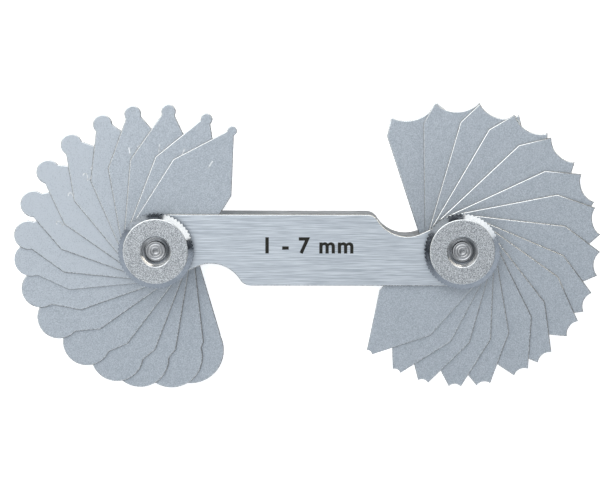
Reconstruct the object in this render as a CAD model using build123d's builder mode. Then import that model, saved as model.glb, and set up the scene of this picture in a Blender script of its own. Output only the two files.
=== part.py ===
from build123d import *
import os
from math import cos, hypot, radians, sin, tan

# Radius gauge: two packs of flat leaves on two studs between two cover plates,
# each pack held by a knurled nut. The gauge lies on its rear plate with +Z up.
# The origin is on the rear plate's outer face, midway between the two studs,
# and +X points to the stud of the concave leaves. All sizes are in millimetres.

os.makedirs("parts", exist_ok=True)

# Sizes of the gauge's radii, from the top leaf of a pack down to its lowest
gauge_radii = [1, 1.25, 1.5, 1.75, 2, 2.25, 2.5, 2.75, 3, 3.5, 4, 4.5, 5, 5.5, 6, 6.5, 7]

# How far each leaf is swung out of the plates, in degrees from its closed place
convex_open_angles = [
    57.5, 69, 85, 100, 113.5, 129.5, 145, 160.5, 174.5,
    185.5, 199.5, 215.3, 233, 249, 260.5, 276.3, 286.5,
]
concave_open_angles = [
    48.5, 62.5, 74.5, 88, 100, 116.5, 128, 144.5, 157,
    173.5, 191, 205, 223.5, 240, 254, 271, 288.5,
]

# Closed, each leaf points at the other stud
convex_closed_direction = 0
concave_closed_direction = 180

# Cover plates
stud_spacing = 62.3
plate_height = 14.6
plate_thickness = 1.0
plate_edge_break = 0.12

# Thumb cut-outs: a short slot with round ends bites into a long edge of the plates
cutout_radius = 7.0
cutout_length = 2.5
cutout_tilt = 25.0
cutout_from_stud = 10.0
cutout_depth = 3.96
cutout_sweep_radius = 2.6
cutout_inner_round = 1.0

# Leaves
leaf_thickness = 0.5
leaf_gap = 0.03
leaf_inset = 0.3
leaf_taper = 30.0
convex_reach = 29.8
bulb_overhang = 0.48
bulb_overhang_share = 0.047
neck_round = 0.4
concave_reach = 27.9
concave_arc = 90.0

# Studs
shank_diameter = 5.0
thread_diameter = 4.0
head_taper_width = 1.0
shoulder_below_plate = 0.3
stud_end_chamfer = 0.15
stud_end_below_nut = 0.45
centre_mark_radius = 0.5
centre_mark_depth = 0.3

# Knurled nuts
nut_diameter = 15.5
nut_height = 3.5
nut_chamfer = 1.2
nut_collar_diameter = 12.6
nut_collar_height = 0.4
nut_countersink_diameter = 6.3
knurl_count = 60
knurl_depth = 0.28

# Clearances
running_clearance = 0.05
nut_clearance = 0.03

# A point this near to a line or a circle counts as lying on it
touching = 0.001

# Levels and places that follow from the sizes above
leaf_width = plate_height - 2 * leaf_inset
leaf_pitch = leaf_thickness + leaf_gap
pack_height = len(gauge_radii) * leaf_pitch + leaf_gap
front_plate_level = plate_thickness + pack_height
front_plate_top = front_plate_level + plate_thickness
outside_width = cutout_length + 2 * cutout_radius + 4 * cutout_sweep_radius
outside_depth = 2 * cutout_radius
nut_level = front_plate_top + nut_clearance
nut_top = nut_level + nut_height
convex_stud_x = -stud_spacing / 2
concave_stud_x = stud_spacing / 2
shank_bore_radius = shank_diameter / 2 + running_clearance
thread_bore_radius = thread_diameter / 2 + running_clearance


def save(piece, name):
    """Names a finished piece and writes it to its own file."""
    piece.part.label = name
    export_step(piece.part, f"parts/{name}.step")


def size_name(radius):
    """Gives a radius as part of a name: 1.25 becomes 1_25."""
    return f"{radius:g}".replace(".", "_")


def leaf_plane(stud_x, place_in_pack, direction):
    """The underside of a leaf: its x axis runs from the stud to the leaf's end."""
    underside = front_plate_level - leaf_gap - leaf_thickness - place_in_pack * leaf_pitch
    along = (cos(radians(direction)), sin(radians(direction)), 0)
    return Plane(origin=(stud_x, 0, underside), x_dir=along, z_dir=(0, 0, 1))


def tapered_strip(length, apex):
    """Draws a leaf's body: a strip from the stud out, cut by two sides that aim at the apex."""
    slope = tan(radians(leaf_taper))
    Rectangle(length, leaf_width, align=(Align.MIN, Align.CENTER))
    Polygon((apex, 0), (0, apex * slope), (0, -apex * slope), align=None, mode=Mode.INTERSECT)
    Circle(leaf_width / 2)


with BuildSketch() as thumb_cutout:
    # The space outside the long edge joins the slot, and the two corners sweep into it
    cutout_x = convex_stud_x + cutout_from_stud
    cutout_y = -plate_height / 2 + cutout_depth - cutout_radius
    with Locations((cutout_x, cutout_y)):
        SlotCenterToCenter(cutout_length, 2 * cutout_radius, rotation=cutout_tilt)
    with Locations((cutout_x, -plate_height / 2)):
        Rectangle(outside_width, outside_depth, align=(Align.CENTER, Align.MAX))
    for corner, round_radius in ((2, cutout_sweep_radius), (1, cutout_inner_round)):
        on_the_edge = thumb_cutout.vertices().filter_by_position(
            Axis.Y, -plate_height / 2 - touching, -plate_height / 2 + touching
        )
        fillet(on_the_edge.sort_by(Axis.X)[corner], round_radius)

with BuildSketch() as plate_outline:
    SlotCenterToCenter(stud_spacing, plate_height)
    add(thumb_cutout.sketch, mode=Mode.SUBTRACT)
    add(thumb_cutout.sketch, rotation=180, mode=Mode.SUBTRACT)

with BuildPart() as rear_plate:
    add(plate_outline.sketch)
    extrude(amount=plate_thickness)
    chamfer(rear_plate.faces().sort_by(Axis.Z)[0].edges(), plate_edge_break)
    # The stud heads are riveted into tapered holes, flush with the outer face
    with Locations((convex_stud_x, 0), (concave_stud_x, 0)):
        Cone(
            shank_diameter / 2 + head_taper_width,
            shank_diameter / 2,
            plate_thickness,
            align=(Align.CENTER, Align.CENTER, Align.MIN),
            mode=Mode.SUBTRACT,
        )
save(rear_plate, "rear_plate")

with BuildPart() as front_plate:
    with BuildSketch(Plane.XY.offset(front_plate_level)):
        add(plate_outline.sketch)
    extrude(amount=plate_thickness)
    chamfer(front_plate.faces().sort_by(Axis.Z)[-1].edges(), plate_edge_break)
    with BuildSketch(Plane.XY.offset(front_plate_level)):
        with Locations((convex_stud_x, 0), (concave_stud_x, 0)):
            Circle(shank_bore_radius)
    extrude(amount=plate_thickness, mode=Mode.SUBTRACT)
save(front_plate, "front_plate")

for side, stud_x in (("left", convex_stud_x), ("right", concave_stud_x)):
    # Half of the stud's section, turned about its axis: head, shank, thread, centre mark
    stud_axis = Plane(origin=(stud_x, 0, 0), x_dir=(1, 0, 0), z_dir=(0, -1, 0))
    shank_top = front_plate_top - shoulder_below_plate
    stud_end = nut_top - stud_end_below_nut
    with BuildPart() as stud:
        with BuildSketch(stud_axis):
            with BuildLine():
                Polyline(
                    (0, 0),
                    (shank_diameter / 2 + head_taper_width, 0),
                    (shank_diameter / 2, plate_thickness),
                    (shank_diameter / 2, shank_top),
                    (thread_diameter / 2, shank_top),
                    (thread_diameter / 2, stud_end - stud_end_chamfer),
                    (thread_diameter / 2 - stud_end_chamfer, stud_end),
                    (centre_mark_radius, stud_end),
                    (0, stud_end - centre_mark_depth),
                    close=True,
                )
            make_face()
        revolve(axis=Axis((stud_x, 0, 0), (0, 0, 1)))
    save(stud, f"{side}_stud")

    # The nut is a turned blank with a countersunk bore, knurled straight along its rim
    countersink_depth = nut_countersink_diameter / 2 - thread_bore_radius
    with BuildPart() as knurled_nut:
        with BuildSketch(stud_axis):
            with BuildLine():
                Polyline(
                    (thread_bore_radius, nut_level),
                    (nut_collar_diameter / 2, nut_level),
                    (nut_collar_diameter / 2, nut_level + nut_collar_height),
                    (nut_diameter / 2, nut_level + nut_collar_height),
                    (nut_diameter / 2, nut_top - nut_chamfer),
                    (nut_diameter / 2 - nut_chamfer, nut_top),
                    (nut_countersink_diameter / 2, nut_top),
                    (thread_bore_radius, nut_top - countersink_depth),
                    close=True,
                )
            make_face()
        revolve(axis=Axis((stud_x, 0, 0), (0, 0, 1)))
        with BuildSketch(Plane(origin=(stud_x, 0, nut_level), z_dir=(0, 0, 1))):
            # A groove's flanks stand at 90 degrees, so it is twice as wide as it is deep
            with PolarLocations(nut_diameter / 2, knurl_count):
                Polygon(
                    (-knurl_depth, 0),
                    (knurl_depth, 2 * knurl_depth),
                    (knurl_depth, -2 * knurl_depth),
                    align=None,
                )
        extrude(amount=nut_height, mode=Mode.SUBTRACT)
    save(knurled_nut, f"{side}_knurled_nut")

for place_in_pack, radius in enumerate(gauge_radii):
    # Convex leaf: its sides taper to a neck, and the gauging end is a round bulb
    bulb_centre = convex_reach - radius
    taper_at_bulb = radius - bulb_overhang - bulb_overhang_share * radius
    apex = bulb_centre + taper_at_bulb / tan(radians(leaf_taper))
    direction = convex_closed_direction + convex_open_angles[place_in_pack]
    with BuildPart() as convex_leaf:
        with BuildSketch(leaf_plane(convex_stud_x, place_in_pack, direction)) as outline:
            tapered_strip(bulb_centre, apex)
            with Locations((bulb_centre, 0)):
                Circle(radius)
            # The bulb meets the body at two inner corners behind its centre
            necks = []
            for corner in outline.vertices():
                from_bulb_centre = hypot(corner.X - bulb_centre, corner.Y)
                if corner.X < bulb_centre and abs(from_bulb_centre - radius) < touching:
                    necks.append(corner)
            fillet(necks, neck_round)
            Circle(shank_bore_radius, mode=Mode.SUBTRACT)
        extrude(amount=leaf_thickness)
    save(convex_leaf, f"convex_leaf_r{size_name(radius)}")

    # Concave leaf: its end is a hollow, an arc between two sharp corners
    hollow_centre = concave_reach + radius
    corner_x = hollow_centre - radius * cos(radians(concave_arc / 2))
    corner_y = radius * sin(radians(concave_arc / 2))
    apex = corner_x + corner_y / tan(radians(leaf_taper))
    direction = concave_closed_direction + concave_open_angles[place_in_pack]
    with BuildPart() as concave_leaf:
        with BuildSketch(leaf_plane(concave_stud_x, place_in_pack, direction)):
            tapered_strip(hollow_centre, apex)
            with Locations((hollow_centre, 0)):
                Circle(radius, mode=Mode.SUBTRACT)
            Circle(shank_bore_radius, mode=Mode.SUBTRACT)
        extrude(amount=leaf_thickness)
    save(concave_leaf, f"concave_leaf_r{size_name(radius)}")
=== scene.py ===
# %% [markdown]
# # A radius gauge, fanned open
# A radius gauge is a pocket tool for checking rounded corners. Two packs of thin steel leaves
# turn on two studs between a pair of cover plates, and a knurled nut clamps each pack. The
# leaves on the left have round bulbs, for hollow corners. Those on the right have hollows, for
# outside corners. This script takes the finished solids as a fixed frame and gives them their
# looks: soft edges, brushed and satin steel, knurling and engraved sizes.

from math import atan2, cos, exp, pi, radians, sin

import bmesh
import bpy
from mathutils import Matrix, Vector


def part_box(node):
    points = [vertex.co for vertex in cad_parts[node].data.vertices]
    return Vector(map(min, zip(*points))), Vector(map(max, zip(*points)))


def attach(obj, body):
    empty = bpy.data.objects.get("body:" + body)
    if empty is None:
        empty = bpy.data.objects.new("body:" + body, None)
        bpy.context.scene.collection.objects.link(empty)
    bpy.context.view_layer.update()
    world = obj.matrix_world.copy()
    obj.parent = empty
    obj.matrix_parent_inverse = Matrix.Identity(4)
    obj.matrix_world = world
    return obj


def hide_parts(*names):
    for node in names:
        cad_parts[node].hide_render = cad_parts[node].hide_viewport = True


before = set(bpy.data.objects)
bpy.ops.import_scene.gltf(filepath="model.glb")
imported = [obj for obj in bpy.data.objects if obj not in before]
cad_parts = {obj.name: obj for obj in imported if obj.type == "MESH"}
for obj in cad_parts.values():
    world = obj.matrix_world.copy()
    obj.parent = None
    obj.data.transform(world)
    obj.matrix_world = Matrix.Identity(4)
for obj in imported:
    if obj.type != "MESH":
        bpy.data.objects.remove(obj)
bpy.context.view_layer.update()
scene = bpy.context.scene
mm = 0.001

# %% Measure what the pieces have to fit
plate_low, plate_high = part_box("front_plate")
plate_top = plate_high.z
stud_x = {}
for side in ("left", "right"):
    low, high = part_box(f"{side}_stud")
    stud_x[side] = (low.x + high.x) / 2
nut_low, nut_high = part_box("left_knurled_nut")
stud_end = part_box("left_stud")[1].z
print(f"plate top {plate_top / mm:.2f}, nut {nut_low.z / mm:.2f} to {nut_high.z / mm:.2f} mm")
print(f"studs at x {stud_x['left'] / mm:.2f} and {stud_x['right'] / mm:.2f} mm")

# %% [markdown]
# ## The camera
# The tool lies flat and is seen from nearly straight above, so the camera hangs over it with a
# long lens. It stands a little towards the far edge: the rear plate's far edge then peeps out
# behind the front plate. A small turn about the viewing direction matches how the tool lies in
# the picture, with its right end a hair lower.

# %% Hang the camera
camera_height = 520 * mm
camera_forward = 48 * mm
view_centre = Vector((-1.41 * mm, 0.05 * mm, plate_top))
camera_roll = radians(-0.09)

camera_data = bpy.data.cameras.new("camera")
camera_data.lens = 152.45
camera_data.sensor_width = 36
camera_data.clip_start = 0.01
camera = bpy.data.objects.new("camera", camera_data)
scene.collection.objects.link(camera)
scene.camera = camera
camera.location = view_centre + Vector((0, camera_forward, camera_height))
looking = view_centre - camera.location
upright = Matrix.Rotation(camera_roll, 3, looking) @ Vector((0, 1, 0))
backward = -looking.normalized()
rightward = upright.cross(backward).normalized()
facing = Matrix((rightward, backward.cross(rightward), backward)).transposed()
camera.rotation_mode = "QUATERNION"
camera.rotation_quaternion = facing.to_quaternion()
print("camera", [round(c / mm, 1) for c in camera.location], "mm")

# %% [markdown]
# ## The light
# Bare steel has no colour of its own to show: it shows what stands round it. A broad soft box
# overhead gives the flat faces their even grey, and a smaller one beside it lifts the leaves on
# the upper left. A wide one, lower on that side, draws a thin bright line along every edge that
# faces it. The nuts' chamfers look out towards the horizon, so two low cards there give them a
# white and a grey glint, and a room that is dark near the horizon keeps the other edges dark.

# %% Set the lamps
scene.view_settings.view_transform = "Standard"


def soft_box(name, place, width, height, radiance, colour=(1, 1, 1)):
    """Adds a square lamp that faces the tool. Its power follows from how bright it looks."""
    lamp = bpy.data.lights.new(name, "AREA")
    lamp.color = colour
    lamp.shape = "RECTANGLE"
    lamp.size = width
    lamp.size_y = height
    lamp.energy = radiance * pi * width * height
    holder = bpy.data.objects.new(name, lamp)
    scene.collection.objects.link(holder)
    holder.location = place
    holder.rotation_mode = "QUATERNION"
    holder.rotation_quaternion = (-Vector(place)).to_track_quat("-Z", "Y")
    holder.visible_camera = False
    return holder


cream = (1, 0.96, 0.88)
soft_box("overhead_box", (-0.12, 0.12, 0.85), 0.9, 0.9, 0.42)
soft_box("high_left_box", (-0.24, 0.0, 0.8), 0.2, 0.28, 0.7)
soft_box("back_box", (-0.156, 0.58, 0.72), 1.2, 0.6, 1.7)
soft_box("wide_left_box", (-0.58, 0.69, 0.5), 2.2, 0.55, 1.35, cream)
soft_box("low_right_card", (0.407, 0.468, 0.07), 0.76, 0.14, 4.3, (1, 0.91, 0.79))
soft_box("low_left_card", (-0.4, 0.48, 0.06), 0.42, 0.12, 1.3, cream)
soft_box("low_front_card", (0.5, -0.3, 0.08), 0.65, 0.16, 0.9)
soft_box("front_fill", (0.1, -0.8, 0.62), 1.4, 0.35, 1.0, (0.88, 0.94, 1))
soft_box("side_fill", (-0.8, -0.35, 0.5), 0.6, 0.35, 1.5)
print("lamps:", [lamp.name for lamp in bpy.data.lights])

# %% Fill the room
surround = bpy.data.worlds.new("surround")
surround.use_nodes = True
scene.world = surround
room = surround.node_tree
room_background = room.nodes["Background"]
direction = room.nodes.new("ShaderNodeTexCoord")
upwards = room.nodes.new("ShaderNodeSeparateXYZ")
room.links.new(direction.outputs["Generated"], upwards.inputs["Vector"])
from_horizon = room.nodes.new("ShaderNodeMapRange")
from_horizon.inputs["From Min"].default_value = sin(radians(10))
from_horizon.inputs["From Max"].default_value = sin(radians(45))
room.links.new(upwards.outputs["Z"], from_horizon.inputs["Value"])
room_colour = room.nodes.new("ShaderNodeMix")
room_colour.data_type = "RGBA"
room_colour.inputs["A"].default_value = (0.10, 0.105, 0.11, 1)
room_colour.inputs["B"].default_value = (0.36, 0.375, 0.39, 1)
room.links.new(from_horizon.outputs["Result"], room_colour.inputs["Factor"])
room.links.new(room_colour.outputs["Result"], room_background.inputs["Color"])
backdrop = room.nodes.new("ShaderNodeBackground")
backdrop.inputs["Color"].default_value = (1, 1, 1, 1)
rays = room.nodes.new("ShaderNodeLightPath")
choose = room.nodes.new("ShaderNodeMixShader")
room.links.new(rays.outputs["Is Camera Ray"], choose.inputs["Fac"])
room.links.new(room_background.outputs["Background"], choose.inputs[1])
room.links.new(backdrop.outputs["Background"], choose.inputs[2])
room.links.new(choose.outputs["Shader"], room.nodes["World Output"].inputs["Surface"])
print("the room has", len(room.nodes), "nodes")

# %% [markdown]
# ## The floor
# The tool lies on plain white. A lit floor alone would come out grey, so what the camera sees of
# it, and what the steel mirrors of it, gets a little light of its own. It stays a real surface
# too, and keeps the tool's shadow.

# %% Lay the floor
floor_shape = bmesh.new()
bmesh.ops.create_grid(floor_shape, x_segments=1, y_segments=1, size=3)
bmesh.ops.translate(floor_shape, verts=floor_shape.verts, vec=(0, 0, -0.02 * mm))
floor_mesh = bpy.data.meshes.new("floor")
floor_shape.to_mesh(floor_mesh)
floor_shape.free()
floor = bpy.data.objects.new("floor", floor_mesh)
scene.collection.objects.link(floor)

paper = bpy.data.materials.new("white_paper")
paper.use_nodes = True
paper_tree = paper.node_tree
paper_shader = paper_tree.nodes["Principled BSDF"]
paper_shader.inputs["Base Color"].default_value = (0.9, 0.9, 0.9, 1)
paper_shader.inputs["Roughness"].default_value = 0.9
paper_shader.inputs["Specular IOR Level"].default_value = 0
paper_shader.inputs["Emission Color"].default_value = (0.95, 0.975, 1, 1)
paper_rays = paper_tree.nodes.new("ShaderNodeLightPath")
glow = None
for kind, strength in (("Is Camera Ray", 0.7), ("Is Glossy Ray", 0.5), ("Is Transmission Ray", 0.5)):
    share = paper_tree.nodes.new("ShaderNodeMath")
    share.operation = "MULTIPLY_ADD"
    share.inputs[1].default_value = strength
    share.inputs[2].default_value = 0
    paper_tree.links.new(paper_rays.outputs[kind], share.inputs[0])
    if glow:
        paper_tree.links.new(glow, share.inputs[2])
    glow = share.outputs["Value"]
paper_tree.links.new(glow, paper_shader.inputs["Emission Strength"])
floor.data.materials.append(paper)
print("floor at", -0.02, "mm")

# %% [markdown]
# ## Helpers for finishes
# Every finish here is bare metal, so they all start from the same shader. What is the same all
# over is set on the shader's own sockets. What varies comes from noise, which is read in metres,
# so a scale of 1000 gives marks about a millimetre across. Stretched noise gives the streaks that
# a brush or an abrasive belt leaves.


# %% Start a bare metal
def bare_metal(name, colour, roughness):
    """Makes a metal of one colour and roughness, ready for its pattern nodes."""
    metal = bpy.data.materials.new(name)
    metal.use_nodes = True
    shader = metal.node_tree.nodes["Principled BSDF"]
    shader.inputs["Base Color"].default_value = (*colour, 1)
    shader.inputs["Metallic"].default_value = 1
    shader.inputs["Roughness"].default_value = roughness
    return metal, metal.node_tree, shader


def object_place(tree):
    """Gives the place on the piece, in metres."""
    return tree.nodes.new("ShaderNodeTexCoord").outputs["Object"]


def stored_place(tree, name):
    """Gives the place that a piece's own attribute stores."""
    stored = tree.nodes.new("ShaderNodeAttribute")
    stored.attribute_name = name
    return stored.outputs["Vector"]


def noise(tree, place, scale, turn=0.0, detail=2.0):
    """Gives noise with its own scale along each axis, turned about z first."""
    mapping = tree.nodes.new("ShaderNodeMapping")
    mapping.vector_type = "POINT"
    mapping.inputs["Rotation"].default_value = (0, 0, turn)
    stretch = tree.nodes.new("ShaderNodeVectorMath")
    stretch.operation = "MULTIPLY"
    stretch.inputs[1].default_value = scale
    texture = tree.nodes.new("ShaderNodeTexNoise")
    texture.inputs["Scale"].default_value = 1
    texture.inputs["Detail"].default_value = detail
    tree.links.new(place, mapping.inputs["Vector"])
    tree.links.new(mapping.outputs["Vector"], stretch.inputs[0])
    tree.links.new(stretch.outputs["Vector"], texture.inputs["Vector"])
    return texture.outputs["Fac"]


def between(tree, value, start, end, low, high):
    """Maps a value's range from start to end onto low to high, and holds it there."""
    ranged = tree.nodes.new("ShaderNodeMapRange")
    ranged.inputs["From Min"].default_value = start
    ranged.inputs["From Max"].default_value = end
    ranged.inputs["To Min"].default_value = low
    ranged.inputs["To Max"].default_value = high
    tree.links.new(value, ranged.inputs["Value"])
    return ranged.outputs["Result"]


def combine(tree, operation, first, second):
    """Adds or multiplies two values; the second may be a plain number."""
    node = tree.nodes.new("ShaderNodeMath")
    node.operation = operation
    tree.links.new(first, node.inputs[0])
    if isinstance(second, float):
        node.inputs[1].default_value = second
    else:
        tree.links.new(second, node.inputs[1])
    return node.outputs["Value"]


def blend_colours(tree, amount, dark, light):
    """Gives a colour between two, by an amount from 0 to 1."""
    mix = tree.nodes.new("ShaderNodeMix")
    mix.data_type = "RGBA"
    mix.inputs["A"].default_value = (*dark, 1)
    mix.inputs["B"].default_value = (*light, 1)
    tree.links.new(amount, mix.inputs["Factor"])
    return mix.outputs["Result"]


def rough_up(tree, shader, height, depth):
    """Turns a height pattern into relief of that depth, in metres."""
    relief = tree.nodes.new("ShaderNodeBump")
    relief.inputs["Strength"].default_value = 1
    relief.inputs["Distance"].default_value = depth
    tree.links.new(height, relief.inputs["Height"])
    tree.links.new(relief.outputs["Normal"], shader.inputs["Normal"])


# %% [markdown]
# ## Brushed plate steel
# The plates are finished on an abrasive belt that runs along them, which leaves fine straight
# streaks from end to end. Noise that is stretched about fifty times along x gives such streaks.
# A long, a short and a hair-fine one together keep them from looking printed. The rear plate
# rubs on the bench all its life, so its streaks are the same but it is duller and less blue.


# %% Mix the brushed finish of the plates
def brushed_finish(name, dark, light, smoothest, roughest):
    """Makes a metal with streaks along x, between two colours and two roughnesses."""
    metal, tree, shader = bare_metal(name, light, roughest)
    place = object_place(tree)
    long_streaks = noise(tree, place, (70, 6800, 6800), detail=2.0)
    short_streaks = noise(tree, place, (260, 9500, 9500), detail=2.0)
    hair_lines = noise(tree, place, (120, 17000, 17000), detail=1.0)
    streaks = combine(
        tree,
        "ADD",
        combine(tree, "MULTIPLY", long_streaks, 0.2),
        combine(
            tree,
            "ADD",
            combine(tree, "MULTIPLY", short_streaks, 0.35),
            combine(tree, "MULTIPLY", hair_lines, 0.45),
        ),
    )
    tone = between(tree, streaks, 0.42, 0.58, 0.0, 1.0)
    tree.links.new(blend_colours(tree, tone, dark, light), shader.inputs["Base Color"])
    dullness = between(tree, streaks, 0.38, 0.62, smoothest, roughest)
    tree.links.new(dullness, shader.inputs["Roughness"])
    rough_up(tree, shader, streaks, 0.003 * mm)
    return metal


plate_finishes = {
    "front_plate": brushed_finish(
        "brushed_front_steel", (0.425, 0.476, 0.533), (0.755, 0.812, 0.874), 0.3, 0.42
    ),
    "rear_plate": brushed_finish(
        "worn_rear_steel", (0.44, 0.445, 0.45), (0.64, 0.645, 0.65), 0.46, 0.6
    ),
}
print("plate finishes:", [finish.name for finish in plate_finishes.values()])

# %% [markdown]
# ## Satin leaves
# The leaves are stamped from rolled spring steel and tumbled, which gives a fine cloudy satin and
# rounds their edges. Handling adds a few thin scratches that run any way. The pattern has to
# follow each leaf, and no two leaves may look the same, so every leaf stores its own place along,
# across and above itself, moved on by a step from leaf to leaf. The middle sizes of the bulbs are
# given painted light: their colour is made brighter, as where more light falls on them, so each
# leaf also stores how much of this painted light it gets.

# %% Mix the satin finish of the leaves
satin_steel, tree, shader = bare_metal("satin_leaf_steel", (0.5, 0.53, 0.56), 0.5)
place = stored_place(tree, "leaf_place")
clouds = noise(tree, place, (700, 900, 700), detail=2.0)
grain = noise(tree, place, (4000, 4800, 4800), detail=3.0)
# Painted light: a stored brightness makes the middle bulb leaves lighter in colour.
painted_tone = tree.nodes.new("ShaderNodeAttribute")
painted_tone.attribute_name = "leaf_wear"
tone = combine(
    tree,
    "ADD",
    combine(tree, "MULTIPLY", clouds, 0.12),
    combine(
        tree,
        "ADD",
        combine(tree, "MULTIPLY", grain, 0.88),
        combine(tree, "MULTIPLY", painted_tone.outputs["Fac"], 0.16),
    ),
)
colour = blend_colours(
    tree, between(tree, tone, 0.38, 0.64, 0.0, 1.0), (0.388, 0.438, 0.494), (0.59, 0.642, 0.7)
)
tree.links.new(colour, shader.inputs["Base Color"])
scratches = None
for turn, scale in ((0.35, (90, 9000, 9000)), (-0.9, (120, 8000, 8000)), (1.4, (150, 8500, 8500))):
    lines = between(tree, noise(tree, place, scale, turn, 0.0), 0.76, 0.82, 0.0, 1.0)
    scratches = lines if scratches is None else combine(tree, "MAXIMUM", scratches, lines)
dullness = combine(
    tree,
    "ADD",
    between(tree, grain, 0.3, 0.7, 0.46, 0.56),
    combine(tree, "MULTIPLY", scratches, -0.12),
)
tree.links.new(dullness, shader.inputs["Roughness"])
relief = combine(tree, "ADD", grain, combine(tree, "MULTIPLY", scratches, -1.5))
rough_up(tree, shader, relief, 0.003 * mm)
print("satin finish:", len(tree.nodes), "nodes")

# %% [markdown]
# ## Worn edges
# Every edge of the tool is rounded by tumbling and by hands, and polished by both, so it is
# smoother and brighter than the faces. That is what draws the thin light and dark lines round
# each piece. It is a finish of its own, and each bevel below puts it on the faces it makes.

# %% Mix the finish of worn edges
worn_edge, tree, shader = bare_metal("worn_edge_steel", (0.66, 0.7, 0.72), 0.26)
place = object_place(tree)
nicks = noise(tree, place, (1800, 1800, 1800), detail=2.0)
colour = blend_colours(tree, nicks, (0.58, 0.61, 0.63), (0.78, 0.81, 0.82))
tree.links.new(colour, shader.inputs["Base Color"])
tree.links.new(between(tree, nicks, 0.3, 0.7, 0.22, 0.32), shader.inputs["Roughness"])
rough_up(tree, shader, nicks, 0.002 * mm)
print("edge finish:", worn_edge.name)

# %% [markdown]
# ## Sheared walls
# The narrow wall that a press cuts is left as it broke: dull and a little dark. Its colour here is
# much darker and a little brown, and that is painted shade: seen from above, it draws the thin
# dark line of shadow next to each bright edge, so the lower half of every rounded edge takes this
# painted shade too.

# %% Mix the finish of sheared walls, with painted shade
# Painted shade: the wall colour is far darker than dull steel and stands for the shadow beside every
# edge.
painted_shade_wall, tree, shader = bare_metal("sheared_wall_steel", (0.16, 0.155, 0.145), 0.55)
place = object_place(tree)
tears = noise(tree, place, (2600, 2600, 700), detail=3.0)
colour = blend_colours(tree, tears, (0.12, 0.115, 0.105), (0.21, 0.205, 0.195))
tree.links.new(colour, shader.inputs["Base Color"])
rough_up(tree, shader, tears, 0.002 * mm)
print("wall finish:", painted_shade_wall.name)

# %% [markdown]
# ## Leaves with soft edges
# The frame's leaves are exact, with knife-sharp edges, and sharp edges catch no light. A copy of
# each mesh is cleaned into a few flat faces: its doubled corners are merged and its coplanar
# triangles dissolved. Only then are there real rim edges that a bevel can round. The copy stands
# for the frame's leaf and rides on the same body.


# %% Copy a leaf and round its rim
def leaf_name(node):
    """Gives the body that carries a leaf: convex_leaf_r1_5 rides on convex_r1_5."""
    return node.replace("_leaf", "")


def leaf_swing(node):
    """Gives the direction in which a leaf points, from its joint and its middle."""
    low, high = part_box(node)
    side = "left" if node.startswith("convex") else "right"
    corners = [v.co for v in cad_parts[node].data.vertices]
    pivot = Vector((stud_x[side], 0, 0))
    tip = max(corners, key=lambda corner: (corner - pivot).xy.length)
    return pivot, low, high, tip


rim_round = 0.2 * mm
sharp_angle = radians(40)
steep = 0.7


def finish_by_slope(shape):
    """Gives flat faces the first finish, rounded edges the second and steep ones the third."""
    for face in shape.faces:
        slope = abs(face.normal.z)
        face.smooth = slope < 0.999
        face.material_index = 2 if slope < steep else 1 if face.smooth else 0


def soften_rim(shape, width):
    """Rounds every edge where a flat face turns down into a wall."""
    rims = []
    for edge in shape.edges:
        if len(edge.link_faces) == 2 and edge.calc_face_angle() > sharp_angle:
            flat = [abs(face.normal.z) > 0.99 for face in edge.link_faces]
            if any(flat):
                rims.append(edge)
    bmesh.ops.bevel(
        shape,
        geom=rims,
        offset=width,
        segments=4,
        affect="EDGES",
        profile=0.5,
        material=-1,
        clamp_overlap=True,
    )
    finish_by_slope(shape)
    return len(rims)


def merged_copy(node):
    """Copies a node's loose triangles into one closed shape with whole flat faces."""
    shape = bmesh.new()
    shape.from_mesh(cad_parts[node].data)
    bmesh.ops.remove_doubles(shape, verts=shape.verts, dist=0.0005 * mm)
    bmesh.ops.dissolve_limit(
        shape, angle_limit=radians(1), verts=shape.verts, edges=shape.edges, delimit=set()
    )
    return shape


def make_piece(name, shape, materials):
    """Turns a finished bmesh into an object; flat faces stay flat and rounded ones smooth."""
    mesh = bpy.data.meshes.new(name)
    shape.to_mesh(mesh)
    shape.free()
    for material in materials:
        mesh.materials.append(material)
    piece = bpy.data.objects.new(name, mesh)
    scene.collection.objects.link(piece)
    return piece


leaves = sorted(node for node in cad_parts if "_leaf_" in node)
pack_size = len(leaves) // 2
brightest_in_pack = 6.5
brightness_spread = 3.2
for order, node in enumerate(leaves):
    pivot, low, high, tip = leaf_swing(node)
    shape = merged_copy(node)
    rims = soften_rim(shape, rim_round)
    place_on_leaf = shape.verts.layers.float_vector.new("leaf_place")
    painted_light_of_leaf = shape.verts.layers.float.new("leaf_wear")
    # Painted light: the middle sizes of the bulb pack get the most, the hollow leaves almost none.
    from_brightest = (order % pack_size - brightest_in_pack) / brightness_spread
    leaf_wear = exp(-(from_brightest**2)) if node.startswith("convex") else 0.05
    turned_back = Matrix.Rotation(-atan2(tip.y, tip.x - pivot.x), 3, "Z")
    for corner in shape.verts:
        own = turned_back @ (corner.co - pivot)
        slant = 0.35 * own.x + 0.25 * own.y
        corner[place_on_leaf] = own + Vector((0, 0, 0.05 * order + slant))
        corner[painted_light_of_leaf] = leaf_wear
    piece = make_piece(f"{node}_steel", shape, [satin_steel, worn_edge, painted_shade_wall])
    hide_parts(node)
    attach(piece, leaf_name(node))
print("leaves:", len(leaves), "the last with", rims, "rim edges")

# %% [markdown]
# ## Plates with soft edges
# The plates get the same care. Their outer faces already have a narrow chamfer, so here it is
# the two edges of that chamfer that are rounded, and it turns into a soft roll. The hole in the
# front plate and the tapered holes in the rear one keep their crisp edges under the studs.

# %% Round the plates' edges
plate_edge_round = 0.055 * mm


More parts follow.
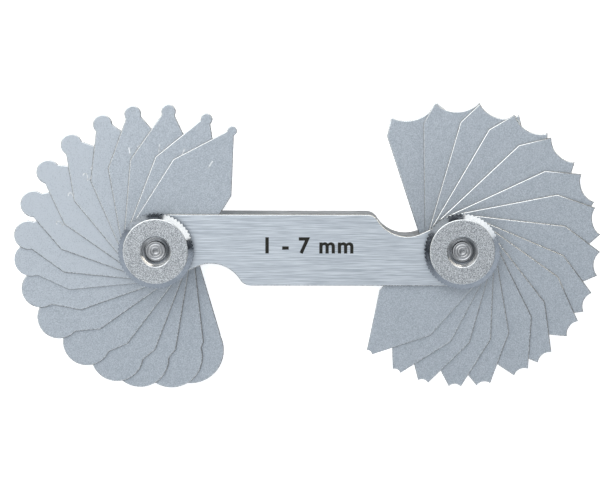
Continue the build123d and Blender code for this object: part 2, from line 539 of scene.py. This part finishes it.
def soften_chamfer(shape, width):
    """Rounds both edges of the chamfer round a plate, away from the stud holes."""
    near_stud = 4 * mm
    rolled = []
    for edge in shape.edges:
        middle = (edge.verts[0].co + edge.verts[1].co) / 2
        to_stud = min((middle.xy - Vector((x, 0))).length for x in stud_x.values())
        sloped = [0.2 < abs(face.normal.z) < 0.9 for face in edge.link_faces]
        if any(sloped) and edge.calc_face_angle(0) > sharp_angle and to_stud > near_stud:
            rolled.append(edge)
    bmesh.ops.bevel(
        shape,
        geom=rolled,
        offset=width,
        segments=3,
        affect="EDGES",
        profile=0.5,
        material=-1,
        clamp_overlap=True,
    )
    finish_by_slope(shape)
    return len(rolled)


for node, finish in plate_finishes.items():
    shape = merged_copy(node)
    rolled = soften_chamfer(shape, plate_edge_round)
    plate = make_piece(f"{node}_steel", shape, [finish, worn_edge, painted_shade_wall])
    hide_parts(node)
    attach(plate, "holder")
    print(plate.name, rolled, "edges rounded")

# %% [markdown]
# ## Engraved sizes
# Each bulb leaf carries its radius, engraved crosswise in fine bright strokes. The text is made
# a mesh first, because only a mesh can be turned and moved into its final place for good. It is a
# hair thick and lies in the leaf's surface, proud by a few thousandths of a millimetre.


# %% Set a line of text
def lettering(name, text, height, middle, direction, top, material, boldness=0.0):
    """Lays text flat, its middle at a point and its reading direction turned from +X."""
    words = bpy.data.curves.new(name, "FONT")
    words.body = text
    words.offset = boldness
    words.align_x = "CENTER"
    words.extrude = 0.5
    words.space_character = 1.15
    holder = bpy.data.objects.new(name, words)
    scene.collection.objects.link(holder)
    bpy.context.view_layer.update()
    mesh = bpy.data.meshes.new_from_object(holder)
    bpy.data.objects.remove(holder)
    mesh.name = name
    lowest = Vector([min(v.co[axis] for v in mesh.vertices) for axis in range(3)])
    highest = Vector([max(v.co[axis] for v in mesh.vertices) for axis in range(3)])
    scale = height / (highest.y - lowest.y)
    flatten = Matrix.Diagonal((scale, scale, 0.01 * mm, 1))
    centred = Matrix.Translation(-(lowest + highest) / 2)
    turned = Matrix.Rotation(direction, 4, "Z")
    placed = Matrix.Translation((middle.x, middle.y, top - 0.002 * mm))
    mesh.transform(placed @ turned @ flatten @ centred)
    mesh.materials.append(material)
    piece = bpy.data.objects.new(name, mesh)
    scene.collection.objects.link(piece)
    return piece


engraving, tree, shader = bare_metal("engraved_strokes", (0.74, 0.78, 0.82), 0.5)
place = object_place(tree)
burr = noise(tree, place, (1500, 1500, 1500))
colour = blend_colours(
    tree, between(tree, burr, 0.4, 0.6, 0.0, 1.0), (0.52, 0.55, 0.58), (0.9, 0.93, 0.95)
)
tree.links.new(colour, shader.inputs["Base Color"])
rough_up(tree, shader, burr, 0.003 * mm)

number_height = 1.75 * mm
number_from_stud = 20.6 * mm
for node in leaves:
    if node.startswith("convex"):
        pivot, low, high, tip = leaf_swing(node)
        along = (tip - pivot).xy.normalized()
        middle = pivot.xy + number_from_stud * along
        size = node.split("_r")[1].replace("_", ".")
        crosswise = atan2(along.y, along.x) - pi / 2
        number = lettering(
            f"{node}_number", size, number_height, middle, crosswise, high.z, engraving
        )
        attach(number, leaf_name(node))
print("the last number is", size)

# %% [markdown]
# ## The print on the front plate
# The front plate states the range of the leaves in plain dark figures. They are etched and
# blackened on the real thing, so they are dull and a little uneven.

# %% Print the range
blackened, tree, shader = bare_metal("blackened_etching", (0.02, 0.02, 0.018), 0.55)
shader.inputs["Metallic"].default_value = 0
shader.inputs["Specular IOR Level"].default_value = 0.15
place = object_place(tree)
soot = noise(tree, place, (2500, 2500, 2500), detail=3.0)
colour = blend_colours(tree, soot, (0.014, 0.014, 0.012), (0.03, 0.03, 0.025))
tree.links.new(colour, shader.inputs["Base Color"])
rough_up(tree, shader, soot, 0.003 * mm)

print_middle = Vector((0.1 * mm, 0.95 * mm, 0))
range_print = lettering(
    "range_print", "1 - 7 mm", 3.4 * mm, print_middle, 0.0, plate_top, blackened, 0.03
)
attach(range_print, "holder")
print("range print is", round(range_print.dimensions.x / mm, 1), "mm long")

# %% [markdown]
# ## Knurled nuts
# A nut is turned from bar: a narrow collar below, a rim with a wide chamfer, and a countersunk
# hole. Then a wheel rolls straight knurling into the rim, and the grooves run out through the
# chamfer. A turned shape would be spun from one section, but here the rim rises and falls with
# every tooth. So a few sections across one tooth are bridged into a slice, and the slice is
# repeated sixty times round the hole.

# %% Draw one section through the nut
nut_radius = (nut_high.x - nut_low.x) / 2
nut_bottom = nut_low.z
nut_top = nut_high.z
collar_radius = 6.3 * mm
collar_height = 0.4 * mm
lower_chamfer = 0.3 * mm
upper_chamfer = 1.2 * mm
countersink_radius = 3.15 * mm
thread_run_out_radius = 2.18 * mm
thread_run_out_depth = 1.2 * mm
bore_radius = 2.05 * mm
knurl_teeth = 60
knurl_depth = 0.28 * mm
tooth_shape = (1.0, 0.62, 0.2, 0.0, 0.2, 0.62)


def nut_section(shape, axis_x, angle, groove):
    """Adds the closed outline of the nut at one angle, where the knurl has cut that deep."""
    rim = nut_radius - groove
    hole = nut_top - (countersink_radius - thread_run_out_radius)
    outline = (
        (bore_radius, nut_bottom),
        (collar_radius, nut_bottom),
        (collar_radius, nut_bottom + collar_height),
        (nut_radius - lower_chamfer, nut_bottom + collar_height),
        (rim, nut_bottom + collar_height + lower_chamfer - groove),
        (rim, nut_top - upper_chamfer + groove),
        (nut_radius - upper_chamfer, nut_top),
        (countersink_radius, nut_top),
        (countersink_radius - 0.36 * mm, nut_top - 0.5 * mm),
        (thread_run_out_radius, hole),
        (thread_run_out_radius, hole - thread_run_out_depth),
        (bore_radius, hole - thread_run_out_depth),
    )
    corners = []
    for radius, height in outline:
        place = (axis_x + radius * cos(angle), radius * sin(angle), height)
        corners.append(shape.verts.new(place))
    edges = []
    for first, second in zip(corners, corners[1:] + corners[:1]):
        edges.append(shape.edges.new((first, second)))
    return edges


# %% Bridge a tooth and repeat it round the nut
def knurled_nut(axis_x):
    """Makes the nut's closed shape from one tooth that is repeated all the way round."""
    shape = bmesh.new()
    tooth_angle = 2 * pi / knurl_teeth
    steps = len(tooth_shape)
    sections = []
    for step in range(steps + 1):
        groove = knurl_depth * tooth_shape[step % steps]
        sections.append(nut_section(shape, axis_x, tooth_angle * step / steps, groove))
    for first, second in zip(sections, sections[1:]):
        bmesh.ops.bridge_loops(shape, edges=first + second)
    tooth = shape.verts[:] + shape.edges[:] + shape.faces[:]
    bmesh.ops.spin(
        shape,
        geom=tooth,
        cent=(axis_x, 0, 0),
        axis=(0, 0, 1),
        angle=2 * pi - tooth_angle,
        steps=knurl_teeth - 1,
        use_duplicate=True,
    )
    bmesh.ops.remove_doubles(shape, verts=shape.verts, dist=0.002 * mm)
    bmesh.ops.recalc_face_normals(shape, faces=shape.faces)
    return shape


def ring_edges(shape, axis_x, radius, height):
    """Finds the edges of one circle of the nut."""
    found = []
    for edge in shape.edges:
        on_circle = [
            abs((v.co - Vector((axis_x, 0, v.co.z))).length - radius) < 0.002 * mm
            and abs(v.co.z - height) < 0.002 * mm
            for v in edge.verts
        ]
        if all(on_circle):
            found.append(edge)
    return found


# %% Finish the nuts
blasted_steel, tree, shader = bare_metal("blasted_nut_face", (0.5, 0.53, 0.56), 0.45)
place = object_place(tree)
grit = noise(tree, place, (6400, 6400, 6400), detail=3.0)
colour = blend_colours(
    tree, between(tree, grit, 0.4, 0.6, 0.0, 1.0), (0.22, 0.24, 0.265), (0.77, 0.8, 0.83)
)
tree.links.new(colour, shader.inputs["Base Color"])
rough_up(tree, shader, grit, 0.03 * mm)

turned_steel, tree, shader = bare_metal("turned_nut_steel", (0.32, 0.35, 0.4), 0.22)
place = object_place(tree)
dents = noise(tree, place, (1500, 1500, 1500), detail=3.0)
tree.links.new(between(tree, dents, 0.3, 0.7, 0.12, 0.22), shader.inputs["Roughness"])
colour = blend_colours(
    tree, between(tree, dents, 0.3, 0.7, 0.0, 1.0), (0.19, 0.218, 0.258), (0.264, 0.297, 0.343)
)
tree.links.new(colour, shader.inputs["Base Color"])
rough_up(tree, shader, dents, 0.006 * mm)

bored_steel, tree, shader = bare_metal("bored_nut_steel", (0.5, 0.52, 0.54), 0.2)
place = object_place(tree)
tool_marks = noise(tree, place, (300, 300, 5000), detail=1.0)
colour = blend_colours(
    tree, between(tree, tool_marks, 0.35, 0.65, 0.0, 1.0), (0.36, 0.375, 0.39), (0.66, 0.68, 0.7)
)
tree.links.new(colour, shader.inputs["Base Color"])
tree.links.new(between(tree, tool_marks, 0.3, 0.7, 0.14, 0.24), shader.inputs["Roughness"])
rough_up(tree, shader, tool_marks, 0.008 * mm)

# Painted shade: every upright wall of the nut, the knurl above all, gets a very dark colour that
# stands for the shade in its grooves; painted_tone only varies it.
knurl_painted_shade, tree, shader = bare_metal("knurled_rim_steel", (0.22, 0.24, 0.26), 0.35)
place = object_place(tree)
painted_tone = noise(tree, place, (2600, 2600, 900), detail=3.0)
colour = blend_colours(tree, painted_tone, (0.1, 0.11, 0.12), (0.36, 0.39, 0.42))
tree.links.new(colour, shader.inputs["Base Color"])
rough_up(tree, shader, painted_tone, 0.01 * mm)

for side in ("left", "right"):
    axis_x = stud_x[side]
    shape = knurled_nut(axis_x)
    rings = ring_edges(shape, axis_x, nut_radius - upper_chamfer, nut_top)
    rings += ring_edges(shape, axis_x, countersink_radius, nut_top)
    bmesh.ops.bevel(
        shape,
        geom=rings,
        offset=0.09 * mm,
        segments=3,
        affect="EDGES",
        profile=0.5,
        material=-1,
    )
    for face in shape.faces:
        middle = face.calc_center_median()
        flat_top = face.normal.z > 0.999 and middle.z > nut_top - 0.01 * mm
        rolled = 0.75 < face.normal.z < 0.999 and middle.z > nut_top - 0.1 * mm
        in_bore = (middle.xy - Vector((axis_x, 0))).length < countersink_radius
        upright = abs(face.normal.z) < 0.3
        if flat_top:
            face.material_index = 0
        elif rolled:
            face.material_index = 4
        else:
            face.material_index = 3 if upright else 2 if in_bore else 1
        face.smooth = abs(face.normal.z) < 0.999
    for edge in shape.edges:
        finishes_beside = {face.material_index for face in edge.link_faces}
        edge.smooth = edge.calc_face_angle(0) < radians(34) and len(finishes_beside) == 1
    finishes = [blasted_steel, turned_steel, bored_steel, knurl_painted_shade, worn_edge]
    nut = make_piece(f"{side}_nut_steel", shape, finishes)
    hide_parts(f"{side}_knurled_nut")
    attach(nut, f"{side}_nut")
    print(nut.name, len(nut.data.polygons), "faces,", len(rings), "ring edges rounded")

# %% [markdown]
# ## Studs
# A stud is a turned pin, riveted into the rear plate. What shows of it is its end in the nut's
# countersink: faced off on the lathe, with fine rings round a centre mark. One section, spun
# round the axis, makes the whole pin, rings included.

# %% Turn the studs
turned_end, tree, shader = bare_metal("faced_stud_steel", (0.36, 0.37, 0.38), 0.24)
place = stored_place(tree, "from_axis")
flat_place = tree.nodes.new("ShaderNodeVectorMath")
flat_place.operation = "LENGTH"
tree.links.new(place, flat_place.inputs[0])
rings_of_tool = noise(tree, flat_place.outputs["Value"], (9000, 9000, 9000), detail=2.0)
colour = blend_colours(
    tree, between(tree, rings_of_tool, 0.35, 0.65, 0.0, 1.0), (0.27, 0.28, 0.29), (0.48, 0.49, 0.51)
)
tree.links.new(colour, shader.inputs["Base Color"])
tree.links.new(
    between(tree, rings_of_tool, 0.3, 0.7, 0.18, 0.36), shader.inputs["Roughness"]
)
rough_up(tree, shader, rings_of_tool, 0.006 * mm)

head_radius = 3.5 * mm
shank_radius = 2.5 * mm
thread_radius = 2.0 * mm
head_height = 1.0 * mm
shank_top = plate_top - 0.3 * mm
stud_profile = (
    (0, 0),
    (head_radius - 0.05 * mm, 0),
    (head_radius - 0.05 * mm, 0.04 * mm),
    (shank_radius, head_height),
    (shank_radius, shank_top),
    (thread_radius, shank_top),
    (thread_radius, stud_end - 0.15 * mm),
    (1.94 * mm, stud_end - 0.04 * mm),
    (1.84 * mm, stud_end),
    (1.64 * mm, stud_end - 0.01 * mm),
    (1.5 * mm, stud_end - 0.09 * mm),
    (1.34 * mm, stud_end - 0.02 * mm),
    (1.08 * mm, stud_end - 0.01 * mm),
    (0.96 * mm, stud_end - 0.08 * mm),
    (0.82 * mm, stud_end - 0.02 * mm),
    (0.6 * mm, stud_end - 0.03 * mm),
    (0.5 * mm, stud_end - 0.06 * mm),
    (0, stud_end - 0.32 * mm),
)
for side in ("left", "right"):
    axis_x = stud_x[side]
    shape = bmesh.new()
    corners = [shape.verts.new((axis_x + radius, 0, height)) for radius, height in stud_profile]
    section = [shape.edges.new(pair) for pair in zip(corners, corners[1:])]
    bmesh.ops.spin(
        shape,
        geom=corners + section,
        cent=(axis_x, 0, 0),
        axis=(0, 0, 1),
        angle=2 * pi,
        steps=96,
        use_merge=True,
    )
    bmesh.ops.remove_doubles(shape, verts=shape.verts, dist=0.001 * mm)
    bmesh.ops.recalc_face_normals(shape, faces=shape.faces)
    from_axis = shape.verts.layers.float_vector.new("from_axis")
    for corner in shape.verts:
        corner[from_axis] = (corner.co.x - axis_x, corner.co.y, 0)
    for face in shape.faces:
        face.smooth = abs(face.normal.z) < 0.999
    for edge in shape.edges:
        edge.smooth = edge.calc_face_angle(0) < radians(30)
    stud = make_piece(f"{side}_stud_steel", shape, [turned_end])
    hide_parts(f"{side}_stud")
    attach(stud, "holder")
    print(stud.name, len(stud.data.polygons), "faces")
